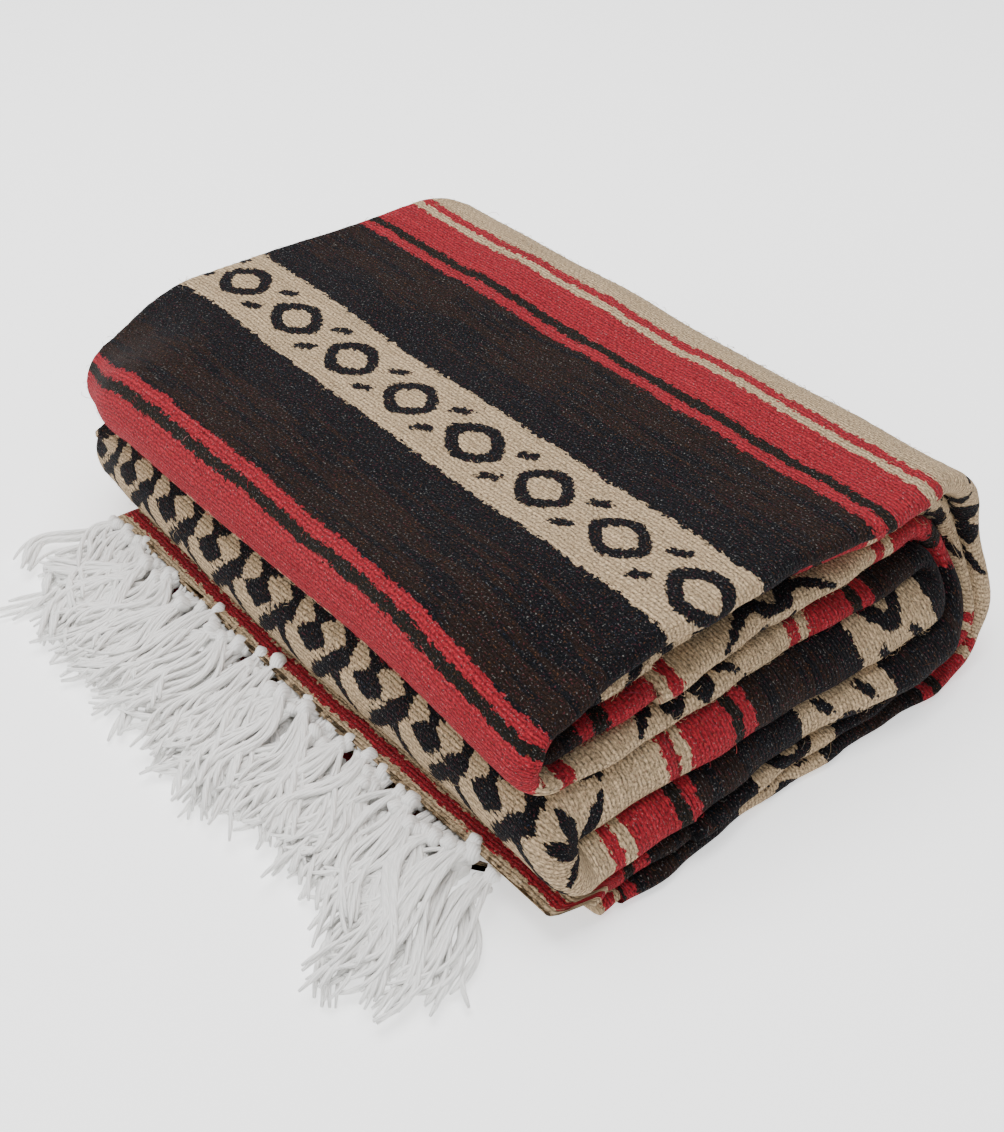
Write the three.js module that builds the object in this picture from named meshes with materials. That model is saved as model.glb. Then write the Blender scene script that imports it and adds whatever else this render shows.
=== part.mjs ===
// A folded Mexican serape (falsa blanket), lying flat, in millimetres with +Z up.
//
// The blanket is woven in one piece. It is folded in four across its width, which makes a
// band four layers thick, and the band is then folded in half three times, which makes
// eight passes, one on another. X runs along the stripes, from the open edges on the left
// to the folded edges on the right. Y runs along the warp, from the fringed front to the rear.
// Passes are counted from the top. The band runs 8 - rear - 1 - front - 4 - rear - 5 -
// front - 6 - rear - 3 - front - 2 - rear - 7, and it is fringed at both ends.

import * as THREE from 'three';

// ---- Driving dimensions -------------------------------------------------------------------

const FOLDED_WIDTH = 325;       // the cloth's 1.30 m width, folded in four
const WALL = 2.2;               // one layer of the heavy blanket cloth
const SEAM = 0.3;               // gap between pieces
const FACE_INSET = 0.2;         // each pass keeps this off the crease beside it
const TURN_UNDER = 22;          // how far a folded edge's wall runs back into the stack
const LIP = 12;                 // how far the small fold on the left runs in
const LIP_ROUND = 5;            // how far it bulges
const LIP_LOW = 0.12;           // where its underside is, as a share of half the band
const LAYER_GROOVE = 5;         // depth of the grooves between layers on the left
const PANEL_DEPTH = 60;         // how far the full-width panels run in behind the front folds

// Heights of the creases between passes, from the top of the stack to the floor. The lowest
// face lies on the floor itself.
const CREASE = [88, 78.5, 66, 55.5, 46.5, 28.5, 13.4, 6.7, -FACE_INSET];

// For each pass, how far its folded edge lies to the right of the top one, how far that
// edge bulges, and how far its open edges lie in from the left.
const PASSES = [
  { reach: 0, bulge: 7, start: 0 },
  { reach: -8, bulge: 8, start: 4 },
  { reach: -3, bulge: 7, start: 1 },
  { reach: 0, bulge: 6, start: 3 },
  { reach: 3, bulge: 10, start: 2 },
  { reach: 3, bulge: 9, start: 1 },
  { reach: 2, bulge: 5, start: 22 },
  { reach: 3, bulge: 5, start: 18 },
];

const REAR_Y = 200;             // where the rear folds begin to turn
const REAR_DEPTH = [44, 34, 24.5, 13.5, 0];     // outermost to innermost rear fold
const FRONT_Y = 14;             // where the front folds begin to turn
const UPPER_FRONT_DEPTH = [17, 7.5, 0];         // the upper pack's, outermost to innermost
const LOWER_FRONT_DEPTH = [18.5, 0];            // the lower roll's
const UPPER_END_Y = 4;          // the fringed end of pass 7
const LOWER_END_Y = -8;         // the fringed end of pass 8

const LOWER_SHIFT = 18;         // the lower passes lie this far to the right
const SHIFT_FROM = 58;          // height where the shift starts
const SHIFT_TO = 14;            // height where it is complete

// How the stack settles at its two front corners, as a share of its height.
const LEFT_SETTLE = { share: 0.24, across: 62, along: 72 };
const RIGHT_SETTLE = { share: 0.3, across: 75, along: 75 };

// The fringe, as solids of its reach: rows from the knots out to the tips.
const FRINGE = {
  upper_fringe: [
    { y: 3.6, under: 7.3, top: 12.4 },
    { y: -9, under: 7.3, top: 12.4 },
    { y: -24, under: 5.6, top: 10.6 },
    { y: -58, under: 4.6, top: 8.6 },
  ],
  lower_fringe: [
    { y: -8.4, under: 0, top: 6.1 },
    { y: -24, under: 0, top: 5.2 },
    { y: -72, under: 0, top: 4.2 },
  ],
};
const FRINGE_LEFT = 30;
const FRINGE_RIGHT = 318;
const TIP_REACH = [-4, 2, 0, -3, 4, -2, 3, -8, 6];   // how far the tips straggle, across

const RED = '#b53a42';
const DARK = '#1e1918';
const TAN = '#c9b59b';
const WHITE = '#ededee';

// ---- Where a point of the stack lies --------------------------------------------------------

function smooth(t) {
  const clamped = Math.min(1, Math.max(0, t));
  return clamped * clamped * (3 - 2 * clamped);
}

function mix(a, b, t) {
  return a + (b - a) * t;
}

// The finished place of a point of the square stack: the lower passes slide to the right,
// and the two front corners settle.
function settle(x, y, z) {
  const slide = LOWER_SHIFT * smooth((SHIFT_FROM - z) / (SHIFT_FROM - SHIFT_TO));
  const left = LEFT_SETTLE.share
    * smooth(1 - x / LEFT_SETTLE.across)
    * smooth(1 - y / LEFT_SETTLE.along);
  const right = RIGHT_SETTLE.share
    * smooth(1 - (FOLDED_WIDTH - x) / RIGHT_SETTLE.across)
    * smooth(1 - y / RIGHT_SETTLE.along);
  const middle = CREASE[4];
  const lowered = z > middle ? mix(z, middle, right) : z;
  return [x + slide, y, lowered * (1 - left)];
}

// A cut across the band: its outer face (side 1) and inner face (side -1) as [y, z], with
// the edge sizes there.
function cutAt(face, back, edges) {
  return { face, back, ...edges };
}

// Cuts along a straight pass. The odd passes have the band's outer face up.
function straight(pass, ...ys) {
  const [above, below] = [CREASE[pass - 1], CREASE[pass]];
  const edges = PASSES[pass - 1];
  return ys.map((y) => (pass % 2 ? cutAt([y, above], [y, below], edges) : cutAt([y, below], [y, above], edges)));
}

// Cuts round a fold from one pass to another. Sign 1 bulges to the rear, and -1 to the front.
function fold(from, to, y, depths, sign, steps) {
  const [high, low] = [Math.min(from, to), Math.max(from, to)];
  const outer = { top: CREASE[high - 1], bottom: CREASE[low], depth: depths[0] };
  const inner = { top: CREASE[high], bottom: CREASE[low - 1], depth: depths[1] };
  const pointOf = (edge, angle) => [
    y + sign * edge.depth * Math.cos(angle),
    (edge.top + edge.bottom) / 2 + ((edge.top - edge.bottom) / 2) * Math.sin(angle),
  ];
  const cuts = [];
  for (let i = 0; i <= steps; i += 1) {
    const t = i / steps;
    const angle = (from === high ? 1 : -1) * (Math.PI / 2) * (1 - 2 * t);
    const [out, into] = [pointOf(outer, angle), pointOf(inner, angle)];
    const edges = {};
    for (const size of ['reach', 'bulge', 'start']) {
      edges[size] = mix(PASSES[from - 1][size], PASSES[to - 1][size], t);
    }
    cuts.push(high % 2 ? cutAt(out, into, edges) : cutAt(into, out, edges));
  }
  return cuts;
}

// A point of the band at a cut, x across and side from -1 to 1 through its thickness.
function bandPoint(cut, x, side) {
  const t = (1 - side) / 2;
  return settle(x, mix(cut.face[0], cut.back[0], t), mix(cut.face[1], cut.back[1], t));
}

// The side value at a depth inside the band's outer face.
function sideAt(cut, depth) {
  const thickness = Math.hypot(cut.face[0] - cut.back[0], cut.face[1] - cut.back[1]);
  return 1 - (2 * depth) / thickness;
}

// ---- Sections across the band, as [x, side] ---------------------------------------------------

const ROLL_STEPS = 6;
const LIP_STEPS = 3;
const ACROSS = [42, 62, 90, 160, 250, 275, 292];   // where the faces have their points
const INSIDE = FACE_INSET + WALL;                 // the depth of a wall's inner face
const FILL = INSIDE + SEAM;                       // the depth of the hidden layers

function along(xs, side) {
  return xs.map((x) => [x, side]);
}

// The folded edge on the right, from the outer face round to the inner one.
function roll(cut, depth) {
  const centre = FOLDED_WIDTH + cut.reach - cut.bulge;
  const points = [];
  for (let i = 0; i <= ROLL_STEPS; i += 1) {
    const angle = (Math.PI / 2) * (1 - (2 * i) / ROLL_STEPS);
    points.push([
      centre + (cut.bulge - depth) * Math.cos(angle),
      sideAt(cut, depth) * Math.sin(angle),
    ]);
  }
  return points;
}

// The small fold on the left, from the band's middle round to its outer face.
function lip(cut) {
  const points = [];
  for (let i = 0; i <= LIP_STEPS; i += 1) {
    const angle = Math.PI * (i / LIP_STEPS - 0.5);
    const across = cut.start + LIP_ROUND * (1 - Math.cos(angle));
    points.push([across, mix(LIP_LOW, sideAt(cut, FACE_INSET), (1 + Math.sin(angle)) / 2)]);
  }
  return points;
}

// One layer of cloth round a folded edge only.
function edgeSection(cut) {
  const back = FOLDED_WIDTH + cut.reach - TURN_UNDER;
  return [
    [back, sideAt(cut, FACE_INSET)],
    ...roll(cut, FACE_INSET),
    [back, -sideAt(cut, FACE_INSET)],
    [back, -sideAt(cut, INSIDE)],
    ...roll(cut, INSIDE).reverse(),
    [back, sideAt(cut, INSIDE)],
  ];
}

// One layer over the whole outer face, round the right edge and the small fold on the left.
function panelSection(cut) {
  const back = FOLDED_WIDTH + cut.reach - TURN_UNDER;
  return [
    [cut.start + LIP, LIP_LOW],
    ...lip(cut),
    ...along([cut.start + LIP, ...ACROSS], sideAt(cut, FACE_INSET)),
    ...roll(cut, FACE_INSET),
    [back, -sideAt(cut, FACE_INSET)],
    [back, -sideAt(cut, INSIDE)],
    ...roll(cut, INSIDE).reverse(),
    ...along(ACROSS.toReversed(), sideAt(cut, INSIDE)),
    [cut.start + LIP, sideAt(cut, INSIDE)],
  ];
}

// ---- Meshes -----------------------------------------------------------------------------------

function closedGeometry(points, triangles) {
  const [a, b, c] = [new THREE.Vector3(), new THREE.Vector3(), new THREE.Vector3()];
  let volume = 0;
  for (const [i, j, k] of triangles) {
    volume += a.fromArray(points[i]).dot(b.fromArray(points[j]).cross(c.fromArray(points[k])));
  }
  const facing = volume > 0 ? triangles : triangles.map(([i, j, k]) => [i, k, j]);
  const geometry = new THREE.BufferGeometry();
  geometry.setAttribute('position', new THREE.Float32BufferAttribute(points.flat(), 3));
  geometry.setIndex(facing.flat());
  return geometry;
}

// A four-sided face, split along the diagonal that lies higher, so that faces on each side
// of a seam are split alike.
function quad(points, a, b, c, d) {
  const heightOf = (i, j) => points[i][2] + points[j][2];
  return heightOf(a, c) >= heightOf(b, d) ? [[a, b, c], [a, c, d]] : [[a, b, d], [b, c, d]];
}

// Sweeps a closed section along the cuts, and closes both ends.
function sweep(cuts, sectionOf) {
  const sections = cuts.map(sectionOf);
  const count = sections[0].length;
  const points = sections.flatMap((section, i) => section.map(([x, side]) => bandPoint(cuts[i], x, side)));
  const triangles = [];
  for (let i = 0; i + 1 < cuts.length; i += 1) {
    for (let j = 0; j < count; j += 1) {
      const [p, q] = [i * count + j, i * count + ((j + 1) % count)];
      triangles.push(...quad(points, p, q, q + count, p + count));
    }
  }
  const last = cuts.length - 1;
  for (const end of [0, last]) {
    const halfThick = 1 / (1 - sideAt(cuts[end], 1));
    const outline = sections[end].map(([x, side]) => new THREE.Vector2(x, side * halfThick));
    for (const corners of THREE.ShapeUtils.triangulateShape(outline, [])) {
      const [i, j, k] = corners.sort((m, n) => m - n).map((corner) => corner + end * count);
      triangles.push(end ? [i, j, k] : [i, k, j]);
    }
  }
  return closedGeometry(points, triangles);
}

// ---- Stretches of the band that show ------------------------------------------------------------

const BEHIND = PANEL_DEPTH + SEAM / 2;            // where the edge walls begin
const PANEL_BACK = PANEL_DEPTH - SEAM / 2;        // where the panels end
const REAR_STEPS = 9;
const FRONT_STEPS = 8;

function rearFold(from, to) {
  const outermost = Math.min(from, to) - 1;
  return fold(from, to, REAR_Y, REAR_DEPTH.slice(outermost, outermost + 2), 1, REAR_STEPS);
}

function upperFrontFold(from, to) {
  const outermost = Math.min(from, to) - 1;
  return fold(from, to, FRONT_Y, UPPER_FRONT_DEPTH.slice(outermost, outermost + 2), -1, FRONT_STEPS);
}

function lowerFrontFold(from, to) {
  return fold(from, to, FRONT_Y, LOWER_FRONT_DEPTH, -1, FRONT_STEPS);
}

const panels = {
  outer_wrap: [
    ...straight(8, LOWER_END_Y, FRONT_Y, 34, BEHIND, 90, 145),
    ...rearFold(8, 1),
    ...straight(1, 145, 90, BEHIND, 34),
    ...upperFrontFold(1, 4),
    ...straight(4, 34, PANEL_BACK),
  ],
  centre_roll: [
    ...straight(5, PANEL_BACK, 34),
    ...lowerFrontFold(5, 6),
    ...straight(6, 34, PANEL_BACK),
  ],
  upper_end: straight(7, UPPER_END_Y, FRONT_Y, 34, PANEL_BACK),
};

const foldedEdges = {
  edge_4_5: [
    ...straight(4, BEHIND, 90, 145),
    ...rearFold(4, 5),
    ...straight(5, 145, 90, BEHIND),
  ],
  edge_3_6: [
    ...straight(6, BEHIND, 90, 145),
    ...rearFold(6, 3),
    ...straight(3, 145, 90, BEHIND),
  ],
  edge_2_3: [
    ...straight(3, PANEL_BACK, 34),
    ...upperFrontFold(3, 2),
    ...straight(2, 34, PANEL_BACK),
  ],
  edge_2_7: [
    ...straight(2, BEHIND, 90, 145),
    ...rearFold(2, 7),
    ...straight(7, 145, 90, BEHIND),
  ],
};

// ---- The hidden layers, as one solid --------------------------------------------------------------

// The passes tile the stack's profile in Y and Z. The solid runs across between two reliefs
// over that profile: tongues into the folded edges on the right, and lips on the left.
const END_TUCK = 2;             // the layers stop this far inside the fringed ends
const LAYER_LIPS = [            // each layer's lip on the left, by its share of half the band
  { share: 1, inset: 1 },
  { share: 0.6, inset: 0 },
  { share: 0, inset: LAYER_GROOVE },
  { share: -0.6, inset: 2 },
  { share: -1, inset: 3 },
];

// The rows through the band's thickness at a cut, as { side, left, right }. Behind a panel
// they stop inside it; elsewhere they run to the creases on both sides.
function fillRows(cut, behindPanel) {
  const face = sideAt(cut, FILL);
  const back = FOLDED_WIDTH + cut.reach - TURN_UNDER - SEAM;
  const centre = FOLDED_WIDTH + cut.reach - cut.bulge;
  const crease = { left: cut.start + LAYER_GROOVE, right: back };
  const rows = LAYER_LIPS.map(({ share, inset }) => {
    const tucked = behindPanel && share >= 0;
    const tip = centre + (cut.bulge - FILL) * Math.sqrt(1 - share ** 2);
    return {
      side: face * share,
      left: cut.start + (tucked ? LIP + SEAM : inset),
      right: Math.abs(share) === 1 ? back : tip,
    };
  });
  const toFace = behindPanel ? [] : [{ side: 1, ...crease }];
  return [...toFace, ...rows, { side: -1, ...crease }];
}

// A profile of Y and Z nodes, each with its left and right ends, and the faces between them.
class Profile {
  nodes = [];
  faces = [];
  #index = new Map();

  node(y, z, left, right) {
    const key = `${y.toFixed(3)} ${z.toFixed(3)}`;
    if (!this.#index.has(key)) {
      this.#index.set(key, this.nodes.length);
      this.nodes.push({ y, z, left, right });
    }
    const found = this.#index.get(key);
    const shared = this.nodes[found];
    shared.left = Math.max(shared.left, left);
    shared.right = Math.min(shared.right, right);
    return found;
  }

  face(...corners) {
    const [a, b, c] = corners.map((corner) => this.nodes[corner]);
    const area = (b.y - a.y) * (c.z - a.z) - (c.y - a.y) * (b.z - a.z);
    if (Math.abs(area) > 1e-6) {
      this.faces.push(area > 0 ? corners : corners.toReversed());
    }
  }

  addFill(cuts, behindPanel) {
    const rows = cuts.map((cut) => fillRows(cut, behindPanel).map(({ side, left, right }) => {
      const t = (1 - side) / 2;
      return this.node(mix(cut.face[0], cut.back[0], t), mix(cut.face[1], cut.back[1], t), left, right);
    }));
    for (let i = 0; i + 1 < rows.length; i += 1) {
      for (let j = 0; j + 1 < rows[i].length; j += 1) {
        this.face(rows[i][j], rows[i][j + 1], rows[i + 1][j + 1]);
        this.face(rows[i][j], rows[i + 1][j + 1], rows[i + 1][j]);
      }
    }
  }

  // The solid between the two reliefs.
  solid() {
    const points = this.nodes.map(({ y, z, right }) => settle(right, y, z));
    const count = points.length;
    points.push(...this.nodes.map(({ y, z, left }) => settle(left, y, z)));
    const triangles = this.faces.flatMap(([a, b, c]) => [[a, b, c], [a + count, c + count, b + count]]);
    const rims = new Map();
    const rim = (node) => {
      if (!rims.has(node)) {
        const { y, z } = this.nodes[node];
        rims.set(node, [node + count, ...ACROSS.map((x) => points.push(settle(x, y, z)) - 1), node]);
      }
      return rims.get(node);
    };
    const edges = new Set(this.faces.flatMap(([a, b, c]) => [`${a} ${b}`, `${b} ${c}`, `${c} ${a}`]));
    for (const edge of edges) {
      const [a, b] = edge.split(' ').map(Number);
      if (!edges.has(`${b} ${a}`)) {
        const [p, q] = [rim(a), rim(b)];
        for (let i = 0; i + 1 < p.length; i += 1) {
          triangles.push(...quad(points, p[i], q[i], q[i + 1], p[i + 1]));
        }
      }
    }
    return closedGeometry(points, triangles);
  }
}

function hiddenLayers() {
  const profile = new Profile();
  const topEnd = UPPER_END_Y + END_TUCK;
  profile.addFill([
    ...straight(8, LOWER_END_Y + END_TUCK, topEnd, FRONT_Y, 34, BEHIND, 90, 145),
    ...rearFold(8, 1),
    ...straight(1, 145, 90, BEHIND, 34),
    ...upperFrontFold(1, 4),
    ...straight(4, 34, BEHIND),
  ], true);
  profile.addFill([
    ...straight(5, BEHIND, 34),
    ...lowerFrontFold(5, 6),
    ...straight(6, 34, BEHIND),
  ], true);
  profile.addFill(straight(7, topEnd, FRONT_Y, 34, BEHIND), true);
  profile.addFill([
    ...straight(4, BEHIND, 90, 145),
    ...rearFold(4, 5),
    ...straight(5, 145, 90, BEHIND),
  ], false);
  profile.addFill([
    ...straight(6, BEHIND, 90, 145),
    ...rearFold(6, 3),
    ...straight(3, 145, 90, BEHIND, 34),
    ...upperFrontFold(3, 2),
    ...straight(2, 34, BEHIND, 90, 145),
    ...rearFold(2, 7),
    ...straight(7, 145, 90, BEHIND),
  ], false);
  return profile.solid();
}

// ---- The fringe --------------------------------------------------------------------------------------

// A closed slab of the fringe's reach, from its rows and the points across.
function fringeGeometry(rows) {
  const steps = TIP_REACH.length - 1;
  const points = [];
  for (const face of ['under', 'top']) {
    for (const [i, row] of rows.entries()) {
      const share = i / (rows.length - 1);
      for (const [j, reach] of TIP_REACH.entries()) {
        const x = mix(FRINGE_LEFT, FRINGE_RIGHT, j / steps);
        points.push(settle(x, row.y + (share === 1 ? reach : 0), row[face]));
      }
    }
  }
  const width = steps + 1;
  const faceSize = rows.length * width;
  const triangles = [];
  for (let i = 0; i + 1 < rows.length; i += 1) {
    for (let j = 0; j < steps; j += 1) {
      const [a, b] = [i * width + j, i * width + j + 1];
      triangles.push([a, b, b + width], [a, b + width, a + width]);
      const [c, d] = [a + faceSize, b + faceSize];
      triangles.push([c, d + width, d], [c, c + width, d + width]);
    }
  }
  const rim = [];
  for (let j = 0; j < steps; j += 1) {
    rim.push([j + 1, j], [faceSize - width + j, faceSize - width + j + 1]);
  }
  for (let i = 0; i + 1 < rows.length; i += 1) {
    rim.push([i * width, (i + 1) * width], [(i + 2) * width - 1, (i + 1) * width - 1]);
  }
  for (const [a, b] of rim) {
    triangles.push([a, b, b + faceSize], [a, b + faceSize, a + faceSize]);
  }
  return closedGeometry(points, triangles);
}

// ---- The blanket ---------------------------------------------------------------------------------------

function piece(name, geometry, color) {
  geometry.computeVertexNormals();
  const mesh = new THREE.Mesh(geometry, new THREE.MeshStandardMaterial({ color, roughness: 0.95, metalness: 0 }));
  mesh.name = name;
  return mesh;
}

const blanket = new THREE.Group();
blanket.add(piece('hidden_layers', hiddenLayers(), DARK));
for (const [name, cuts] of Object.entries(panels)) {
  blanket.add(piece(name, sweep(cuts, panelSection), name === 'centre_roll' ? TAN : RED));
}
for (const [name, cuts] of Object.entries(foldedEdges)) {
  blanket.add(piece(name, sweep(cuts, edgeSection), RED));
}
for (const [name, rows] of Object.entries(FRINGE)) {
  blanket.add(piece(name, fringeGeometry(rows), WHITE));
}

// The origin is under the middle of the whole, on the surface it lies on.
const middle = new THREE.Box3().setFromObject(blanket).getCenter(new THREE.Vector3());
blanket.position.set(-middle.x, -middle.y, 0);

const serape = new THREE.Group();
serape.add(blanket);

export default serape;
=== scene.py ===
import math

import bpy
import numpy as np
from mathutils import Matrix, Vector


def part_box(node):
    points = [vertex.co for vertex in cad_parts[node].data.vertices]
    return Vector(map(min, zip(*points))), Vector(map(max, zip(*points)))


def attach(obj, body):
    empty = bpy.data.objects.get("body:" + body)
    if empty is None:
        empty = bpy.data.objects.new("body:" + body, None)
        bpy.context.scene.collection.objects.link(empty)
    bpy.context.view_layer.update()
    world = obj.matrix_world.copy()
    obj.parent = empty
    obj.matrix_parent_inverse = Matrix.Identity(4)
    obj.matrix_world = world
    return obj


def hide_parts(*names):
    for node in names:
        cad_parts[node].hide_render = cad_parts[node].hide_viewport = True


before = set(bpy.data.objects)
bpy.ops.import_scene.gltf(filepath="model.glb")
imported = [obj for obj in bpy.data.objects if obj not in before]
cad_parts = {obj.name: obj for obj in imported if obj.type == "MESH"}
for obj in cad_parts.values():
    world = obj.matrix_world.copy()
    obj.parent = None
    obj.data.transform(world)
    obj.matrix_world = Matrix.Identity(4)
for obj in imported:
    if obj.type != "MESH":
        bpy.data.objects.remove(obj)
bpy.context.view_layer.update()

# A folded falsa blanket: one cloth, folded in four across and in eight along, so that it is
# a band four layers thick that passes over itself eight times. Sizes are in millimetres, in
# the stack's own place: x along the stripes from the open edges to the folded ones, y along
# the warp from the fringed front to the rear, z up. MM turns them to metres at the end.
MM = 0.001
SEED = 7
rng = np.random.default_rng(SEED)

FOLDED_WIDTH = 325
WALL = 2.2
FACE_INSET = 0.2
TURN_UNDER = 22
LIP = 12
LIP_ROUND = 5
LIP_LOW = 0.12
PANEL_DEPTH = 60
CREASE = [88, 78.5, 66, 55.5, 46.5, 28.5, 13.4, 6.7, -FACE_INSET]

# For each pass: how far its folded edge reaches past the top one's, how far it bulges, where
# its open edges start, and the cloth's own measure along the warp: at y_mark it is mark.
# The measure is 0 at the middle of a ring band, and the pattern repeats and mirrors.
PASSES = {
    1: dict(reach=0, bulge=7, start=0, mark=0, y_mark=84.6),
    2: dict(reach=-8, bulge=8, start=4, mark=-1038, y_mark=60),
    3: dict(reach=-3, bulge=7, start=1, mark=-865, y_mark=123),
    4: dict(reach=0, bulge=6, start=3, mark=-173, y_mark=73),
    5: dict(reach=3, bulge=10, start=2, mark=-346, y_mark=175),
    6: dict(reach=3, bulge=9, start=1, mark=-692, y_mark=142),
    7: dict(reach=2, bulge=5, start=26, mark=-1384, y_mark=116),
    8: dict(reach=3, bulge=5, start=24, mark=346, y_mark=108),
}
REAR_Y = 200
REAR_DEPTH = [44, 34, 24.5, 13.5, 0]
FRONT_Y = 14
UPPER_FRONT_DEPTH = [17, 7.5, 0]
LOWER_FRONT_DEPTH = [18.5, 0]
UPPER_END_Y = -8
LOWER_END_Y = -13
LOWER_SHIFT = 18
SHIFT_FROM = 58
SHIFT_TO = 14
LEFT_SETTLE = (0.24, 62, 72)
RIGHT_SETTLE = (0.3, 75, 75)
FRINGE_LEFT = 30
FRINGE_ROOT_Y = 3.6

# The stack's own zero, found from the fringe's solid, whose place in the stack is known.
fringe_low, fringe_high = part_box("upper_fringe")
ORIGIN = np.array([
    fringe_low.x / MM - FRINGE_LEFT - LOWER_SHIFT,
    fringe_high.y / MM - FRINGE_ROOT_Y,
    0.0,
])

# ---- The pattern ---------------------------------------------------------------------------

REPEAT = 346.0                  # from one ring band to the next
RING_HALF = 21.3                # half the ring band's height
RING_PITCH = 42.0               # one ring to the next, across
RING_START = 22.5               # the first ring's middle, from the open edges
RING_OUTSIDE = (15.0, 12.8)     # a ring's half width and height outside its dark line
RING_INSIDE = (8.6, 6.9)        # and inside it
RING_UNEVEN = (0.9, 0.7)        # how much one ring's width and height differ from the next's
RING_POWER = 1.5                # its outline lies between a lozenge, 1, and an ellipse, 2
RING_LEAN = 0.12                # how far it leans for each millimetre along the warp
DASH_AT = 9.8                   # the short dashes between the rings, from the band's middle
DASH_LEAN = 0.7
DASH_SIZE = (4.4, 5.2)
ZIG_HALF = 30.0                 # half the zigzag band's height
ZIG_PITCH = 36.0                # one zigzag to the next, across

# Half a zigzag repeat, charted as a weaver would: columns across, rows from the
# band's middle outwards. X is dark yarn.
ZIG_CHART = [
    "....XX......XX",
    "...XXXX....XXX",
    "..XXXXXX..XXXX",
    ".XXXXXXX.XXXXX",
    ".XXXXXX..XXXX.",
    "..XXXX..XXXX..",
    "...XX..XXXXX..",
    "......XXXXXX..",
    ".....XXXX.XX..",
    "....XXXX..XXX.",
    "....XXX....XX.",
    "...XXX.....XX.",
    "...XX.......XX",
    "..XX........XX",
    "..X..........X",
    "X............X",
    "X.............",
]


def from_ring_band(v):
    """How far along the warp a measure is from the nearest ring band's middle, with its sign."""
    return (v + REPEAT / 2) % REPEAT - REPEAT / 2


def ring_size(x, y, half_sizes):
    """1 on an outline of those half sizes, less inside it and more outside."""
    wide, high = np.abs(x) / half_sizes[0], np.abs(y) / half_sizes[1]
    return (wide ** RING_POWER + high ** RING_POWER) ** (1 / RING_POWER)


def ring_band(u, from_middle):
    """The dark yarn of the ring band: a row of rings, with two slanted dashes between each."""
    number = np.floor((u - RING_START + RING_PITCH / 2) / RING_PITCH)
    across = (u - RING_START + RING_PITCH / 2) % RING_PITCH - RING_PITCH / 2
    leaned = across + RING_LEAN * from_middle
    wide = RING_OUTSIDE[0] + RING_UNEVEN[0] * np.sin(number * 2.1)
    high = RING_OUTSIDE[1] + RING_UNEVEN[1] * np.sin(number * 3.7 + 1)
    inside_line = np.clip((1 - ring_size(leaned, from_middle, (wide, high))) * 5 + 0.5, 0, 1)
    outside_hole = np.clip((ring_size(leaned, from_middle, RING_INSIDE) - 1) * 4 + 0.5, 0, 1)
    between = (u - RING_START) % RING_PITCH - RING_PITCH / 2
    from_row = np.abs(from_middle) - DASH_AT
    slant = between - DASH_LEAN * np.sign(from_middle) * from_row
    dash = 1.5 - np.abs(slant) / DASH_SIZE[0] - np.abs(from_row) / DASH_SIZE[1]
    return np.maximum(inside_line * outside_hole, np.clip(dash, 0, 1))


def zigzag_band(u, from_middle):
    """The dark yarn of the zigzag band: the chart, softened from one cell to the next."""
    chart = np.array([[cell == "X" for cell in row] for row in ZIG_CHART], float)
    rows, cells = chart.shape
    row = from_middle / ZIG_HALF * rows - 0.5
    cell = (u / ZIG_PITCH * cells) % cells
    row_near = np.clip(np.floor(row).astype(int), 0, rows - 1)
    row_far = np.clip(row_near + 1, 0, rows - 1)
    cell_near = np.floor(cell).astype(int) % cells
    cell_far = (cell_near + 1) % cells
    down = np.clip(row - row_near, 0, 1)
    over = cell - np.floor(cell)
    near = chart[row_near, cell_near] * (1 - over) + chart[row_near, cell_far] * over
    far = chart[row_far, cell_near] * (1 - over) + chart[row_far, cell_far] * over
    return near * (1 - down) + far * down


def motif(u, v):
    """How dark the figured yarn is at a point of the cloth, from 0 to 1."""
    from_ring = from_ring_band(v)
    from_zigzag = REPEAT / 2 - np.abs(from_ring)
    dark = np.where(np.abs(from_ring) < RING_HALF, ring_band(u, from_ring), 0)
    return np.where(from_zigzag < ZIG_HALF, zigzag_band(u, from_zigzag), dark)


# ---- Where the cloth lies --------------------------------------------------------------------

STACK_HEIGHT = CREASE[0]
SWAY_FROM = 250                 # where the right edge's own shapes begin


def smooth(t):
    """From 0 to 1 as t goes from 0 to 1, with no corner at either end."""
    t = np.clip(t, 0, 1)
    return t * t * (3 - 2 * t)


def settle(p):
    """The finished place of points of the square stack: the lower passes slide right, the
    front corners settle, and the top sags a little between its edges."""
    x, y, z = p[..., 0], p[..., 1], p[..., 2]
    slide = LOWER_SHIFT * smooth((SHIFT_FROM - z) / (SHIFT_FROM - SHIFT_TO))
    left_drop, left_x, left_y = LEFT_SETTLE
    right_drop, right_x, right_y = RIGHT_SETTLE
    left = left_drop * smooth(1 - x / left_x) * smooth(1 - y / left_y)
    right = right_drop * smooth(1 - (FOLDED_WIDTH - x) / right_x) * smooth(1 - y / right_y)
    middle = CREASE[4]
    lowered = np.where(z > middle, middle + (z - middle) * (1 - right), z) * (1 - left)
    lift = np.clip(z / STACK_HEIGHT, 0, 1) ** 2
    wave = (1.1 * np.sin(x / 47 + y / 90 + 0.6) * np.sin(y / 61 + 0.4)
            + 0.6 * np.sin(x / 19 - y / 33 + 1.7) + 0.35 * np.sin(x / 11 + y / 15))
    sway = 1.5 * np.sin(z / 9 + y / 37) * smooth((x - SWAY_FROM) / 70)
    drawn_in = 4.5 * smooth((x - SWAY_FROM) / 70) * smooth((y - 185) / 45)
    front = 1.4 * np.sin(x / 38 + z / 25) * smooth(1 - (y + 10) / 50) * np.clip(z / 12, 0, 1)
    finished = np.stack([x + slide + sway - drawn_in, y + front + corners(x, y, z),
                         lowered + wave * lift], -1)
    return finished + ORIGIN


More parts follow.
